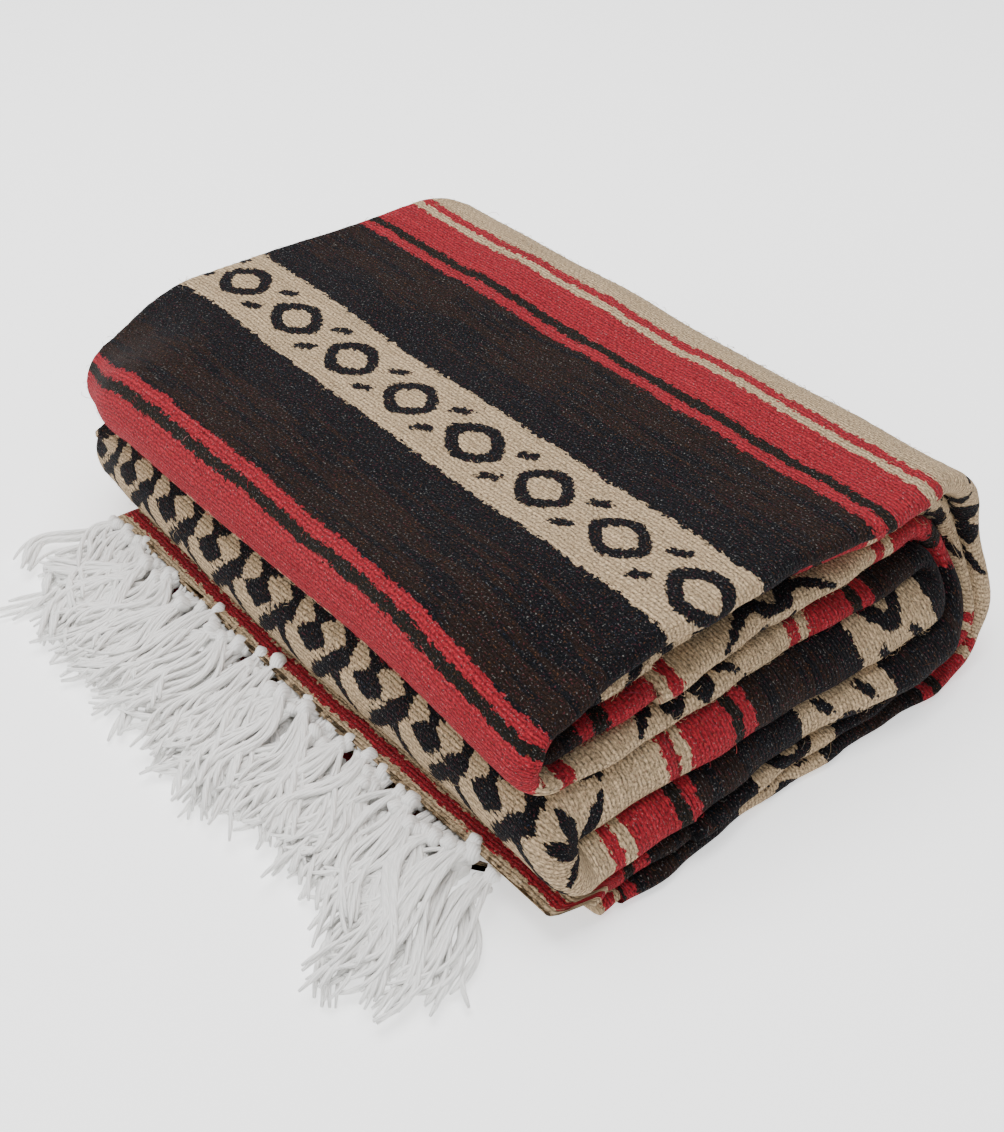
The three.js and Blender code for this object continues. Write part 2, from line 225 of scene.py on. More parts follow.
def corners(x, y, z):
    """How far back the front corners lie: the left ones are rounded off, the upper passes' more
    than the lower ones', and the lowest two layers' right ones are drawn back."""
    rounded = 11 * smooth((z - 42) / 8) + 5 * smooth((44 - z) / 4) * smooth((z - 10) / 6)
    left = rounded * smooth(1 - x / 48) * smooth(1 - (y + 8) / 62)
    right = 19 * smooth((x - 262) / 48) * smooth((30 - y) / 38) * smooth((13.6 - z) / 2)
    lowest = 9 * smooth((x - 280) / 40) * smooth((28 - y) / 34) * smooth((7.6 - z) / 1.4)
    return left + right + lowest


class Cuts:
    """Cuts across the band along a stretch of it. face and back are its two faces' y and z."""

    def __init__(self, face, back, reach, bulge, start, v):
        self.face, self.back = np.array(face, float), np.array(back, float)
        self.reach, self.bulge = np.array(reach, float), np.array(bulge, float)
        self.start, self.v = np.array(start, float), np.array(v, float)

    def __add__(self, other):
        pick = slice(1, None)
        return Cuts(*(np.concatenate([a, b[pick]]) for a, b in zip(self.parts(), other.parts())))

    def parts(self):
        return self.face, self.back, self.reach, self.bulge, self.start, self.v

    def spaced(self, spacing):
        """The same stretch with its cuts at the spacing that the pattern needs there."""
        middle = (self.face + self.back) / 2
        outer = np.maximum(
            np.linalg.norm(np.diff(self.face, axis=0), axis=1),
            np.linalg.norm(np.diff(self.back, axis=0), axis=1),
        )
        step = np.maximum(outer, np.linalg.norm(np.diff(middle, axis=0), axis=1))
        count = np.concatenate([[0], np.cumsum(step / spacing((self.v[1:] + self.v[:-1]) / 2))])
        at = np.linspace(0, count[-1], max(3, int(math.ceil(count[-1])) + 1))
        return Cuts(*(np.stack([np.interp(at, count, a[:, k]) for k in (0, 1)], 1) if a.ndim == 2
                      else np.interp(at, count, a) for a in self.parts()))

    def length(self):
        middle = (self.face + self.back) / 2
        return np.linalg.norm(np.diff(middle, axis=0), axis=1).sum()

    def thick(self):
        return np.linalg.norm(self.face - self.back, axis=1)

    def path(self):
        """How far along its face each cut lies."""
        steps = np.linalg.norm(np.diff(self.face, axis=0), axis=1)
        return np.concatenate([[0], np.cumsum(steps)])


def cloth_measure(number, y):
    edge = PASSES[number]
    return edge["mark"] + (1 if number % 2 else -1) * (y - edge["y_mark"])


def straight(number, start_y, end_y):
    ys = np.linspace(start_y, end_y, max(2, int(abs(end_y - start_y))))
    upper = np.stack([ys, np.full_like(ys, CREASE[number - 1])], 1)
    lower = np.stack([ys, np.full_like(ys, CREASE[number])], 1)
    face, back = (upper, lower) if number % 2 else (lower, upper)
    edge = PASSES[number]
    sizes = [np.full_like(ys, edge[k]) for k in ("reach", "bulge", "start")]
    return Cuts(face, back, *sizes, cloth_measure(number, ys))


def fold(first, second, y, depths, sign, take_up=0.5):
    """Cuts round a fold. take_up is the share of the cloth's measure used in its first half."""
    high, low = min(first, second), max(first, second)
    t = np.linspace(0, 1, 61)
    angle = (1 if first == high else -1) * (math.pi / 2) * (1 - 2 * t)

    def arc(top, bottom, depth):
        return np.stack([y + sign * depth * np.cos(angle),
                         (top + bottom) / 2 + (top - bottom) / 2 * np.sin(angle)], 1)

    outer = arc(CREASE[high - 1], CREASE[low], depths[0])
    inner = arc(CREASE[high], CREASE[low - 1], depths[1])
    face, back = (outer, inner) if high % 2 else (inner, outer)
    one, two = PASSES[first], PASSES[second]
    sizes = [one[k] + (two[k] - one[k]) * t for k in ("reach", "bulge", "start")]
    v1, v2 = cloth_measure(first, y), cloth_measure(second, y)
    share = np.interp(t, [0, 0.62, 1], [0, 0.62 * take_up / 0.5, 1])
    return Cuts(face, back, *sizes, v1 + (v2 - v1) * share)


def rear(first, second):
    k = min(first, second) - 1
    return fold(first, second, REAR_Y, REAR_DEPTH[k:k + 2], 1)


def upper_front(first, second, take_up=0.5):
    k = min(first, second) - 1
    return fold(first, second, FRONT_Y, UPPER_FRONT_DEPTH[k:k + 2], -1, take_up)


def lower_front(first, second):
    return fold(first, second, FRONT_Y, LOWER_FRONT_DEPTH, -1)


def band_points(cuts, x, depth_side):
    """Points in the finished place from x across and side through, each row by column."""
    t = ((1 - depth_side) / 2)[..., None]
    yz = cuts.face[:, None, :] * (1 - t) + cuts.back[:, None, :] * t
    return settle(np.concatenate([x[..., None], yz], -1))


# ---- Sections across the band, as columns of x, side and u --------------------------------------

PANEL_COLUMNS = 2.6             # how far apart a panel's columns lie
FOLD_STEPS = 15                 # round the outside of a folded edge, and round its inside
FOLD_STEPS_INSIDE = 8
LIP_STEPS = 7


def side_at(cuts, depth):
    """A depth below the face, as a share of the band's thickness: 1 is the face."""
    return 1 - 2 * depth / np.maximum(cuts.thick(), 2.5 * WALL)


def edge_wobble(cuts, name):
    """How a folded edge wanders along its length, and how full it is."""
    phase = sum(ord(letter) for letter in name) % 17
    path = cuts.path()
    reach = 1.6 * np.sin(path / 31 + phase) + 1.1 * np.sin(path / 13 + 2 * phase)
    reach = reach + 0.55 * np.sin(path / 4.7 + 5 * phase)
    return reach, 1 + 0.16 * np.sin(path / 22 + 3 * phase)


def roll(cuts, depth, steps, wobble):
    """The folded edge on the right, a depth below its face, from the face round to the back."""
    angle = np.linspace(math.pi / 2, -math.pi / 2, steps)[None, :]
    reach, full = wobble
    centre = (FOLDED_WIDTH + cuts.reach - cuts.bulge)[:, None]
    bulge = (cuts.bulge * full + reach - depth)[:, None]
    x = centre + bulge * np.cos(angle)
    side = side_at(cuts, depth)[:, None] * np.sin(angle)
    arc = (cuts.bulge + cuts.thick() / 2)[:, None] / 2 * (math.pi / 2 - angle)
    return x, side, centre + arc


def edge_section(cuts, name):
    """A folded edge alone, with some of the cloth behind it turned in on both sides."""
    wobble = edge_wobble(cuts, name)
    parts = []
    for depth, steps, turned in ((FACE_INSET, FOLD_STEPS, False),
                                (FACE_INSET + WALL, FOLD_STEPS_INSIDE, True)):
        x, side, u = roll(cuts, depth, steps, wobble)
        into = np.array([1.0, 0.72, 0.45, 0.2])
        back = (FOLDED_WIDTH + cuts.reach - TURN_UNDER)[:, None]
        start_x = x[:, :1] + (back - x[:, :1]) * into
        end_x = x[:, -1:] + (back - x[:, -1:]) * into[::-1]
        layer = (
            np.concatenate([start_x, x, end_x], 1),
            np.concatenate([np.repeat(side[:, :1], 4, 1), side, np.repeat(side[:, -1:], 4, 1)], 1),
            np.concatenate([start_x, u, u[:, -1:] + (x[:, -1:] - end_x)], 1),
        )
        parts.append([a[:, ::-1] if turned else a for a in layer])
    return [np.concatenate(pair, 1) for pair in zip(*parts)]


def lip_outline(cuts):
    """The rounded open edge on the left, from inside the band out to its face."""
    angle = np.linspace(-math.pi / 2, math.pi / 2, LIP_STEPS)[None, :]
    x = cuts.start[:, None] + LIP_ROUND * (1 - np.cos(angle))
    high = side_at(cuts, FACE_INSET)[:, None]
    side = LIP_LOW + (high - LIP_LOW) * (1 + np.sin(angle)) / 2
    return x, side, cuts.start[:, None] + LIP_ROUND * (1 + np.sin(angle)) - LIP_ROUND


def panel_section(cuts, name):
    """A band that shows from its open edges, over its face, round its folded edge."""
    wobble = edge_wobble(cuts, name)
    lip_x, lip_side, lip_u = lip_outline(cuts)
    across = np.linspace(0, 1, int(FOLDED_WIDTH / PANEL_COLUMNS))[1:-1][None, :]
    roll_x, roll_side, roll_u = roll(cuts, FACE_INSET, FOLD_STEPS, wobble)
    low_x = lip_x[:, -1:]
    face_x = low_x + (roll_x[:, :1] - low_x) * across
    face_side = np.broadcast_to(side_at(cuts, FACE_INSET)[:, None], face_x.shape)
    back = (FOLDED_WIDTH + cuts.reach - TURN_UNDER)[:, None]
    under_x = roll_x[:, -1:] + (back - roll_x[:, -1:]) * np.array([0.3, 0.65, 1.0])
    under_side = np.repeat(roll_side[:, -1:], 3, 1)
    inner_x, inner_side, inner_u = roll(cuts, FACE_INSET + WALL, FOLD_STEPS_INSIDE, wobble)
    rest = np.linspace(1, 0, 14)[1:][None, :]
    tucked = (cuts.start + LIP)[:, None]
    rest_x = tucked + (inner_x[:, :1] - tucked) * rest
    rest_side = np.broadcast_to(side_at(cuts, FACE_INSET + WALL)[:, None], rest_x.shape)
    low_side = np.full_like(tucked, LIP_LOW)
    x = np.concatenate([tucked, lip_x, face_x, roll_x, under_x, back, inner_x[:, ::-1], rest_x], 1)
    side = np.concatenate([low_side, lip_side, face_side, roll_side, under_side,
                           inner_side[:, -1:], inner_side[:, ::-1], rest_side], 1)
    under_u = roll_u[:, -1:] + (roll_x[:, -1:] - under_x)
    tucked_u = lip_u[:, :1] - (LIP - LIP_ROUND)
    u = np.concatenate([tucked_u, lip_u, face_x, roll_u, under_u, back, inner_u[:, ::-1], rest_x], 1)
    return x, side, u


def strip_section(low, high, inset, width):
    """A closed lip or selvedge of cloth between two shares of the band's thickness."""
    def section(cuts, name):
        phase = sum(ord(letter) for letter in name) % 13
        path = cuts.path()
        wander = 1.1 * np.sin(path / 26 + phase) + 0.7 * np.sin(path / 11 + 2 * phase)
        angle = np.linspace(-math.pi / 2, math.pi / 2, LIP_STEPS)[None, :]
        round_x = min(LIP_ROUND, 2.6 * (high - low) + 0.8)
        nose = (cuts.start + inset + wander)[:, None] + round_x * (1 - np.cos(angle))
        middle, half = (low + high) / 2, (high - low) / 2
        side = np.broadcast_to(middle + half * np.sin(angle), nose.shape)
        end = (cuts.start + inset + width)[:, None]
        x = np.concatenate([end, nose, end], 1)
        side = np.concatenate([side[:, :1], side, side[:, -1:]], 1)
        return x, side, x
    return section


# ---- Meshes -----------------------------------------------------------------------------------

ROUGHNESS = 0.09                # how uneven the cloth's surface is, most of it up and down
ROUGH_WAY = [0.4, 0.6, 1.0]
ROUGH_ABOVE = 0.6               # the cloth is flat where it lies on the floor
grids = {}                      # each stretch's points and cloth measures, for its nap


def cloth_mesh(name, cuts, section):
    """A closed shell of cloth: the section's columns round, the cuts' rows along."""
    x, side, u = section(cuts, name)
    points = band_points(cuts, x, side)
    rows, cols = x.shape
    v = np.broadcast_to(cuts.v[:, None], x.shape)
    rough = rng.normal(0, ROUGHNESS, points.shape)
    off_floor = points[..., 2:] > ROUGH_ABOVE
    points = points + rough * np.array(ROUGH_WAY) * off_floor
    points[..., 2] = np.maximum(points[..., 2], 0)
    i, j = np.meshgrid(np.arange(rows - 1), np.arange(cols), indexing="ij")
    k = (j + 1) % cols
    quads = np.stack([i * cols + j, (i + 1) * cols + j, (i + 1) * cols + k, i * cols + k], -1)
    quads = quads.reshape(-1, 4)
    faces = quads.tolist() + cap_faces(rows, cols)
    uv = np.stack([u.reshape(-1), v.reshape(-1)], 1)
    grids[name] = (points, u, v)
    return add_piece(name, points.reshape(-1, 3), faces, "cloth", uv, motif(uv[:, 0], uv[:, 1]))


def add_piece(name, points, faces, uv_name, uv, figured=None):
    """A piece from points in millimetres, with a UV and a darkness of its figure for each."""
    mesh = bpy.data.meshes.new(name)
    mesh.from_pydata((points * MM).tolist(), [], faces)
    uv_map = mesh.uv_layers.new(name=uv_name)
    corner = np.zeros(len(mesh.loops), int)
    mesh.loops.foreach_get("vertex_index", corner)
    uv_map.data.foreach_set("uv", uv[corner].astype(np.float32).ravel())
    if figured is not None:
        darkness = mesh.attributes.new("figured", "FLOAT", "POINT")
        darkness.data.foreach_set("value", figured.astype(np.float32))
    mesh.validate()
    piece = bpy.data.objects.new(name, mesh)
    bpy.context.scene.collection.objects.link(piece)
    tidy_normals(piece)
    return piece


def cap_faces(rows, cols):
    """Both ends, closed as strips between the two halves of the section's outline."""
    faces = []
    for base, turned in ((0, False), ((rows - 1) * cols, True)):
        low, high = 0, cols - 1
        while high - low > 1:
            ring = [low, low + 1, high - 1, high] if high - low > 2 else [low, low + 1, high]
            ring = [base + corner for corner in ring]
            faces.append(ring[::-1] if turned else ring)
            low, high = low + 1, high - 1
    return faces


def tidy_normals(piece):
    bpy.ops.object.select_all(action="DESELECT")
    bpy.context.view_layer.objects.active = piece
    piece.select_set(True)
    bpy.ops.object.mode_set(mode="EDIT")
    bpy.ops.mesh.select_all(action="SELECT")
    bpy.ops.mesh.normals_make_consistent(inside=False)
    bpy.ops.object.mode_set(mode="OBJECT")
    bpy.ops.object.shade_smooth()
    piece.select_set(False)


# ---- The stretches of the blanket ---------------------------------------------------------------

FIGURED_MARGIN = 3
FIGURED_ROWS = 1.9
STRIPED_ROWS = 3.6
STRIP_ROWS = 3.2


def row_spacing(v):
    """Rows lie close where the pattern is figured, and wider where it is only stripes."""
    from_ring = np.abs(from_ring_band(v))
    near_rings = from_ring < RING_HALF + FIGURED_MARGIN
    near_zigzags = from_ring > REPEAT / 2 - ZIG_HALF - FIGURED_MARGIN
    return np.where(near_rings | near_zigzags, FIGURED_ROWS, STRIPED_ROWS)


def wide_spacing(v):
    return np.full_like(v, STRIP_ROWS)


TAKE_UP = 0.69                  # the top's cloth lies full at the start of its front fold
STRETCHES = {
    "outer_wrap": (straight(8, LOWER_END_Y, REAR_Y) + rear(8, 1) + straight(1, REAR_Y, FRONT_Y)
                   + upper_front(1, 4, TAKE_UP) + straight(4, FRONT_Y, PANEL_DEPTH)),
    "centre_roll": (straight(5, PANEL_DEPTH, FRONT_Y) + lower_front(5, 6)
                    + straight(6, FRONT_Y, PANEL_DEPTH)),
    "upper_end": straight(7, PANEL_DEPTH, UPPER_END_Y),
    "edge_4_5": straight(4, PANEL_DEPTH, REAR_Y) + rear(4, 5) + straight(5, REAR_Y, PANEL_DEPTH),
    "edge_3_6": straight(6, PANEL_DEPTH, REAR_Y) + rear(6, 3) + straight(3, REAR_Y, PANEL_DEPTH),
    "edge_2_3": (straight(3, PANEL_DEPTH, FRONT_Y) + upper_front(3, 2)
                 + straight(2, FRONT_Y, PANEL_DEPTH)),
    "edge_2_7": straight(2, PANEL_DEPTH, REAR_Y) + rear(2, 7) + straight(7, REAR_Y, PANEL_DEPTH),
}
PANELS = ("outer_wrap", "centre_roll", "upper_end")
cloth_pieces = {}
for stretch_name, stretch in STRETCHES.items():
    cuts = stretch.spaced(row_spacing)
    section = panel_section if stretch_name in PANELS else edge_section
    cloth_pieces[stretch_name] = cloth_mesh(stretch_name, cuts, section)

# The open edges on the left: the inner fold's lip where no panel shows, and two selvedges.
band = (STRETCHES["outer_wrap"] + STRETCHES["edge_4_5"] + STRETCHES["centre_roll"]
        + STRETCHES["edge_3_6"] + STRETCHES["edge_2_3"] + STRETCHES["edge_2_7"]
        + straight(7, PANEL_DEPTH, UPPER_END_Y))
lip_band = STRETCHES["edge_3_6"] + STRETCHES["edge_2_3"] + STRETCHES["edge_2_7"]
layer_strips = []
for strip_name, path, low, high, inset, width in (
    ("layer_lip_inner", lip_band, 0.12, 0.96, 0.0, 46),
    ("layer_lip_rear", STRETCHES["edge_4_5"], 0.12, 0.96, 0.0, 46),
    ("selvedge_inner", band, -0.46, 0.02, 1.5, 52),
    ("selvedge_outer", band, -0.94, -0.52, -0.5, 46),
):
    strip = cloth_mesh(strip_name, path.spaced(wide_spacing), strip_section(low, high, inset, width))
    layer_strips.append((strip, path, width))

# ---- The fringe -----------------------------------------------------------------------------------

STRAND_RADIUS = 1.1
CLEAR = 0.05                    # the least gap left over the floor
STRAND_SIDES = 6
STRAND_STEPS = 19
ROOT_STEPS = 3                  # of those, the ones from the cloth to the knot
GATHER = [1, 0.8, 0.42]         # how the strands draw together over them
SPREAD = 3.4                    # half the width of a tassel
TASSELS = 17
STRANDS = 6
FRINGE_LAYERS = 4
FRINGE_X = 49
FRINGE_WIDTH = 267
KNOT_LENGTH = 7.0
KNOT_RADIUS = 3.6
KNOT_TURNS = 9
KNOT_RINGS = 7

# Where the tips end, front to back, for places across; and how far they swing to the right.
TIP_X = [57, 85, 117, 140, 163, 186, 212, 233, 264, 280, 291, 297, 306, 316, 324, 334]
TIP_Y = [-62, -66, -66, -65, -65, -63, -61, -59, -58, -57, -61, -77, -76, -64, -54, -46]
SWING_X = [50, 120, 200, 260, 300, 325]
SWING = [3, 3, 7, 13, 17, 19]


def tubes(paths, radii, sides):
    """Closed tubes along many paths at once: their corners, faces and twist measures."""
    tangent = np.gradient(paths, axis=1)
    tangent /= np.linalg.norm(tangent, axis=2, keepdims=True)
    across = np.cross(tangent, [0.17, 0.31, 0.93])
    across /= np.linalg.norm(across, axis=2, keepdims=True)
    other = np.cross(tangent, across)
    turn = np.arange(sides) * 2 * math.pi / sides
    ring = (across[:, :, None] * np.cos(turn)[None, None, :, None]
            + other[:, :, None] * np.sin(turn)[None, None, :, None])
    points = paths[:, :, None] + ring * radii[:, :, None, None]
    count, steps = paths.shape[:2]
    s, i, j = np.meshgrid(np.arange(count), np.arange(steps - 1), np.arange(sides), indexing="ij")
    k = (j + 1) % sides
    at = (s * steps + i) * sides
    quads = np.stack([at + j, at + k, at + sides + k, at + sides + j], -1).reshape(-1, 4).tolist()
    starts = np.arange(count) * steps * sides
    first = [list(range(a + sides - 1, a - 1, -1)) for a in starts]
    last = [list(range(a + (steps - 1) * sides, a + steps * sides)) for a in starts]
    length = np.concatenate([np.zeros((count, 1)), np.cumsum(
        np.linalg.norm(np.diff(paths, axis=1), axis=2), axis=1)], 1)
    along = np.repeat(length[:, :, None], sides, 2)
    round_it = np.broadcast_to(np.arange(sides) / sides, along.shape)
    return points.reshape(-1, 3), quads + first + last, np.stack([round_it, along], -1).reshape(-1, 2)


def knot_shape():
    """One overhand knot of a bundle of warps: a fat turn that winds across the bundle."""
    turns, rings = KNOT_TURNS, KNOT_RINGS
    corners = []
    for i in range(rings):
        s = i / (rings - 1)
        fat = KNOT_RADIUS * math.sin(math.pi * (0.1 + 0.8 * s)) ** 0.6
        for j in range(turns):
            a = 2 * math.pi * j / turns
            wind = 1 + 0.16 * math.cos(2 * a + 6.5 * s)
            place = ((s - 0.5) * KNOT_LENGTH, fat * wind * math.cos(a), fat * wind * math.sin(a))
            corners.append(place)
    faces = []
    for i in range(rings - 1):
        for j in range(turns):
            k = (j + 1) % turns
            faces.append([i * turns + j, i * turns + k, (i + 1) * turns + k, (i + 1) * turns + j])
    faces.append(list(range(turns - 1, -1, -1)))
    faces.append(list(range((rings - 1) * turns, rings * turns)))
    return np.array(corners), faces


def fringe(name, root_y, root_z, knot_y, knot_z, rest_z):
    """Tassels of soft warp ends, knotted close to the cloth in four layers."""
    roots = []
    for layer in range(FRINGE_LAYERS):
        for i in range(TASSELS):
            shift = 0.25 * (layer * 3 % 4)
            x = FRINGE_X + (i + shift) * FRINGE_WIDTH / TASSELS + rng.normal(0, 2.2)
            roots.append((x, layer))
    roots = np.array(roots)
    x0, layer = roots[:, 0], roots[:, 1]
    count = len(roots)
    kx = x0 + rng.normal(0, 1.5, count)
    ky = knot_y + rng.uniform(-5.5, 4.5, count)
    kz = knot_z + (layer - 1.5) * 1.1 + rng.normal(0, 0.6, count)
    lies_back = 5 * smooth((x0 - 280) / 40)
    ky = ky + lies_back
    shorter_left = 19 * smooth((84 - x0) / 30)
    tip_y = np.interp(x0 + 6, TIP_X, TIP_Y) + 4 + shorter_left + rng.normal(0, 5.0, count)
    swing = (np.interp(x0, SWING_X, SWING)
             + 6 * np.sin(x0 / 17 + layer * 1.3) + rng.normal(0, 6.0, count))
    bend = rng.normal(0, 6.8, count)
    twice = rng.normal(0, 3.5, count)
    paths = np.zeros((count, STRANDS, STRAND_STEPS, 3))
    # t goes from the cloth at 0 to the knot at 1, and on to the tip at 2.
    t = np.concatenate([[0, 0.5], np.linspace(1, 2, STRAND_STEPS - 2)])
    past = np.clip(t - 1, 0, 1)
    for n in range(STRANDS):
        turn = 2 * math.pi * (n / STRANDS) + rng.uniform(0, 1, count)
        open_out = np.abs(rng.normal(1, 0.35, count)) * SPREAD
        wave = rng.uniform(0.9, 2.3, count)
        phase = rng.uniform(0, 2 * math.pi, count)
        pace = rng.uniform(4, 9, count)
        tip = tip_y + rng.normal(0, 3.5, count)
        curl = rng.normal(0, 4.5, count)
        stray = rng.normal(0, 3.4, count)
        for m in range(STRAND_STEPS):
            a, b = min(t[m], 1), past[m]
            gather = GATHER[min(m, ROOT_STEPS - 1)]
            x = x0 + (kx - x0) * a
            if m < ROOT_STEPS:
                x = x + SPREAD * gather * np.cos(turn)
            x = x + swing * b ** 1.2
            if m >= ROOT_STEPS:
                x = x + open_out * np.cos(turn) * min(1, 0.3 + b)
            x = x + bend * math.sin(math.pi * b) + twice * math.sin(2 * math.pi * b)
            x = x + stray * math.sin(math.pi * b) + wave * np.sin(b * pace + phase) * b
            x = x + curl * b ** 3
            root = root_y + lies_back
            y = root + (ky - root) * a + (tip - ky) * b + 1.6 * np.sin(b * pace + phase * 2) * b
            fall = smooth(b * 1.5)
            z = root_z + (kz - root_z) * a
            z = z * (1 - fall) + (rest_z + 1.0 * layer + 2.2 * np.abs(np.sin(turn))) * fall
            z = z + 1.1 * np.sin(b * pace * 1.3 + phase) * b * (1 - b * 0.5)
            z = z + 1.1 * gather * np.sin(turn)
            paths[:, n, m] = np.stack([x, y, np.maximum(z, STRAND_RADIUS + CLEAR)], -1)
    paths = paths.reshape(-1, STRAND_STEPS, 3)
    radii = np.full(paths.shape[:2], STRAND_RADIUS) * rng.uniform(0.75, 1.25, (len(paths), 1))
    radii[:, -1] *= 0.5
    radii[:, -2] *= 0.85
    points, faces, uv = tubes(paths, radii, STRAND_SIDES)
    shape, knot_faces = knot_shape()
    heading = np.arctan2(tip_y - ky, swing) + rng.normal(0, 0.3, count)
    lean = rng.normal(0, 0.25, count)
    size = rng.uniform(0.82, 1.12, count)
    knots = []
    for i in range(count):
        c, s = math.cos(heading[i]), math.sin(heading[i])
        local = shape * size[i]
        local = local + np.outer(local[:, 0] * math.tan(lean[i]), [0, 0, 1])
        turned = [local[:, 0] * c - local[:, 1] * s, local[:, 0] * s + local[:, 1] * c, local[:, 2]]
        knots.append(np.stack(turned, 1) + [kx[i], ky[i], max(kz[i], 3.0)])
        offset = len(points) + i * len(shape)
        faces.extend([[corner + offset for corner in face] for face in knot_faces])
    knot_uv = np.tile(np.stack([shape[:, 1] / 6, shape[:, 0]], 1), (count, 1))
    points = np.concatenate([points, np.concatenate(knots)]) + ORIGIN
    uv = np.concatenate([uv, knot_uv])
    points[:, 2] = np.maximum(points[:, 2], CLEAR)
    return add_piece(name, points, faces, "strand", uv)


upper_fringe = fringe("upper_fringe_knotted", -6.0, 9.6, -10.0, 10.0, 3.6)
lower_fringe = fringe("lower_fringe_knotted", -12.0, 3.6, -17.0, 4.2, 1.0)

# ---- The nap: loose fibres that stand off the cloth ----------------------------------------------

NAP_RADIUS = 0.085
NAP_SIDES = 3
NAP_STEPS = (0, 0.35, 0.7, 1.0)
WRAP_FIBRES = 5200
ROLL_FIBRES = 900
EDGE_FIBRES = 500
HIDDEN_COLUMNS = 45             # a panel's last columns, turned under its face
INSIDE_STACK = [180, 100, 44]


def nap_roots(name, columns_shown, count):
    """Points spread over the shown columns of a stretch, with the way out and the place on
    the cloth of each."""
    points, u, v = grids[name]
    rows = len(points)
    i = rng.integers(0, rows - 1, count)
    j = rng.integers(columns_shown[0], columns_shown[1], count)
    a, b = rng.uniform(0, 1, (2, count, 1))
    p00, p10, p01, p11 = points[i, j], points[i + 1, j], points[i, j + 1], points[i + 1, j + 1]
    place = p00 * (1 - a) * (1 - b) + p10 * a * (1 - b) + p01 * (1 - a) * b + p11 * a * b
    out = np.cross(p10 - p00, p01 - p00)
    out /= np.maximum(np.linalg.norm(out, axis=1, keepdims=True), 1e-6)
    return place, out, np.stack([u[i, j] + 2 * b[:, 0], v[i, j] + 1.5 * a[:, 0]], 1)


def nap_fibres():
    """Short fibres, bent over the cloth that shows, a few of them longer."""
    sets = []
    for name, count in (("outer_wrap", WRAP_FIBRES), ("centre_roll", ROLL_FIBRES)):
        shown = grids[name][0].shape[1] - HIDDEN_COLUMNS
        sets.append(nap_roots(name, (2, shown), count))
    sets += [nap_roots(name, (4, 18), EDGE_FIBRES) for name in STRETCHES if name not in PANELS]
    place, out, cloth_uv = (np.concatenate(part) for part in zip(*sets))
    inside = np.sum(out * (place - ORIGIN - INSIDE_STACK), axis=1) < 0
    out = np.where(inside[:, None], -out, out)
    kept = place[:, 2] > 2.5
    place, out, cloth_uv = place[kept], out[kept], cloth_uv[kept]
    count = len(place)
    lie = rng.normal(0, 1, (count, 3))
    lie -= np.sum(lie * out, axis=1, keepdims=True) * out
    lie /= np.linalg.norm(lie, axis=1, keepdims=True)
    length = rng.uniform(1.2, 3.4, (count, 1))
    length = length * (1 + (rng.uniform(0, 1, (count, 1)) > 0.97) * 1.6)
    rise = rng.uniform(0.15, 0.55, (count, 1))
    paths = []
    for t in NAP_STEPS:
        paths.append(place + lie * length * t + out * (length * rise * math.sin(2.2 * t) - 0.25))
    radii = np.full((count, len(NAP_STEPS)), NAP_RADIUS)
    points, faces, _ = tubes(np.stack(paths, 1), radii, NAP_SIDES)
    points[:, 2] = np.maximum(points[:, 2], 0.1)
    uv = np.repeat(cloth_uv, NAP_SIDES * len(NAP_STEPS), axis=0)
    return add_piece("nap_fibres", points, faces, "cloth", uv, motif(uv[:, 0], uv[:, 1]))


nap = nap_fibres()

# ---- Materials ------------------------------------------------------------------------------------

def linear(hex_colour):
    parts = [int(hex_colour[i:i + 2], 16) / 255 for i in (1, 3, 5)]
    return tuple(c / 12.92 if c <= 0.04045 else ((c + 0.055) / 1.055) ** 2.4 for c in parts) + (1.0,)


def new_material(name):
    material = bpy.data.materials.new(name)
    material.use_nodes = True
    material.node_tree.nodes.clear()
    return material


def node(material, kind, settings, *feeds, out=0, **named):
    """Adds a node with its settings, and what feeds its sockets, in order or by name."""
    tree = material.node_tree
    made = tree.nodes.new(kind)
    for setting, value in settings.items():
        setattr(made, setting, value)
    by_name = {socket.identifier.replace(" ", "_"): socket for socket in made.inputs}
    sockets = list(zip(made.inputs, feeds))
    sockets += [(by_name[name], value) for name, value in named.items()]
    for socket, value in sockets:
        if isinstance(value, bpy.types.NodeSocket):
            tree.links.new(value, socket)
        else:
            socket.default_value = value
    return made.outputs[out] if made.outputs else None


MATH = "ShaderNodeMath"
ADD = dict(operation="ADD")
TIMES = dict(operation="MULTIPLY")
OVER = dict(operation="DIVIDE")
TIMES_PLUS = dict(operation="MULTIPLY_ADD")
PINGPONG = dict(operation="PINGPONG")
SINE = dict(operation="SINE")
SIZE = dict(operation="ABSOLUTE")
FLOOR = dict(operation="FLOOR")
POWER = dict(operation="POWER")
MIX = "ShaderNodeMix"
LAY_OVER = dict(data_type="RGBA", blend_type="MIX")
DARKEN = dict(data_type="RGBA", blend_type="MULTIPLY")
RANGE = "ShaderNodeMapRange"
SOFT = dict(interpolation_type="SMOOTHSTEP")
NOISE = "ShaderNodeTexNoise"
RAMP = "ShaderNodeValToRGB"
GREY = "ShaderNodeCombineColor"
GLOSS = "ShaderNodeBsdfPrincipled"
END = "ShaderNodeOutputMaterial"
RED = "#92202A"
BROWN = "#1C100B"
BLACK = "#05060B"
TAN = "#B49C7C"
DARK = "#130F09"
WHITE = "#F2F1EE"
WEFT_PITCH = 1.8                # one pick to the next, in millimetres
WARP_PITCH = 3.4                # one bead of a pick to the next

